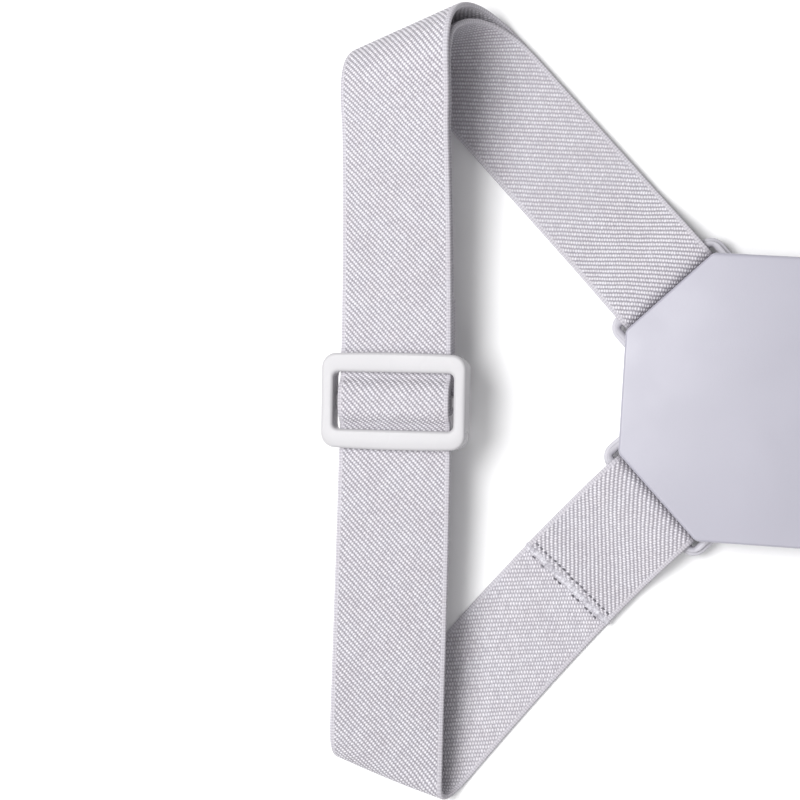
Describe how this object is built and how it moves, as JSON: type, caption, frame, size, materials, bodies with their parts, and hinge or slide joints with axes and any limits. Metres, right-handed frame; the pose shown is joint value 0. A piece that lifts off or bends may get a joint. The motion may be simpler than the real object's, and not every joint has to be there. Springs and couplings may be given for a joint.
{
  "type": "posture corrector",
  "caption": "Posture corrector lying flat: a plastic back housing with cut corners and slotted lugs, and an elastic webbing arm loop with a slider on each side.",
  "frame": {"origin": "centre of the housing's flat back, which rests on the surface", "axes": "+X from the left arm loop to the right one, +Y towards the neck of the wearer, +Z out of the housing's front"},
  "size_m": [0.2656, 0.2221, 0.0315],
  "materials": {
    "housing": "moulded plastic in a pale lavender grey, finely textured, satin",
    "cover": "moulded plastic in a pale lavender grey with a soft metallic sheen, satin, with a bright bevelled edge",
    "webbing": "elastic webbing, pale grey, twill on the good face and small dotted rows on the back, smooth selvedges",
    "slider": "moulded plastic, near white, glossy"
  },
  "bodies": {
    "root": {"housing_base": "housing", "housing_cover": "cover", "strap_left": "webbing", "strap_right": "webbing", "slider_left": "slider", "slider_right": "slider"}
  },
  "joints": []
}
